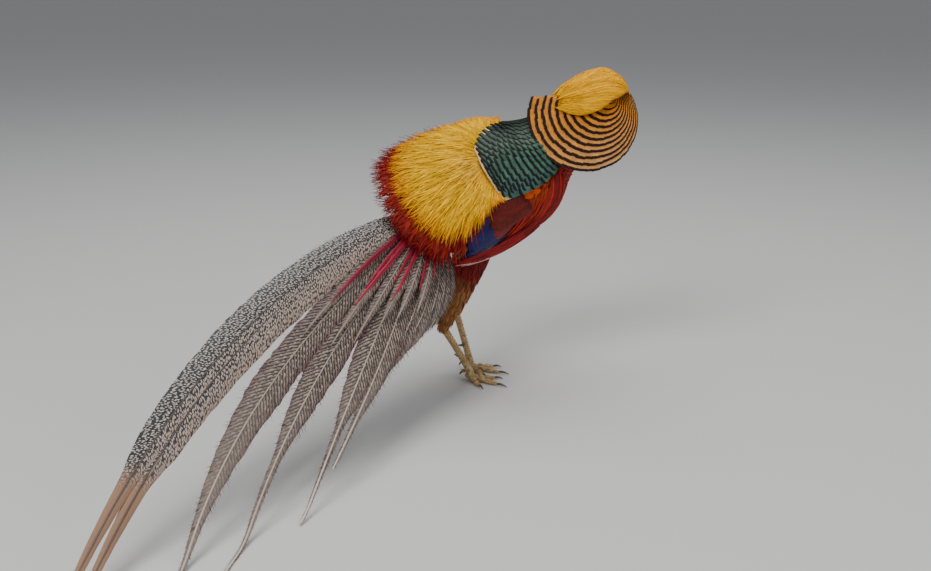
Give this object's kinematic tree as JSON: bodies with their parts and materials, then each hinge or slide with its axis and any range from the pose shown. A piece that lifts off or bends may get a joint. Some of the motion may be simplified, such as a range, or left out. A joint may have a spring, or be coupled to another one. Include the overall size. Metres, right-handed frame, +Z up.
{
  "type": "golden pheasant",
  "caption": "Life-size male golden pheasant standing in its sideways display, with raised crest, cape fanned to one side, scaled mantle, and long tail fan swung round and resting on the floor",
  "frame": {"origin": "middle of the model's box on the floor it stands on, between the feet and the tail tips", "axes": "+Z up, +X the way the bird faces, +Y away from the side it displays to"},
  "size_m": [0.5246, 0.615, 0.3707],
  "materials": {
    "crest_feathers": "satin",
    "bill_horn": "satin",
    "eye": "gloss",
    "cape_feathers": "satin",
    "body_feathers": "satin",
    "rump_feathers": "satin",
    "tail_feathers": "satin",
    "wing_feathers": "satin",
    "thigh_feathers": "matte",
    "leg_scales": "satin"
  },
  "bodies": {
    "root": {"head": "crest_feathers", "beak_upper": "bill_horn", "beak_lower": "bill_horn", "eye_right": "eye", "eye_left": "eye", "neck": "cape_feathers", "torso": "body_feathers", "rump": "rump_feathers", "tail": "tail_feathers", "wing_right": "wing_feathers", "wing_left": "wing_feathers", "thigh_right": "thigh_feathers", "thigh_left": "thigh_feathers", "shank_right": "leg_scales", "shank_left": "leg_scales", "foot_right": "leg_scales", "foot_left": "leg_scales"}
  },
  "joints": []
}
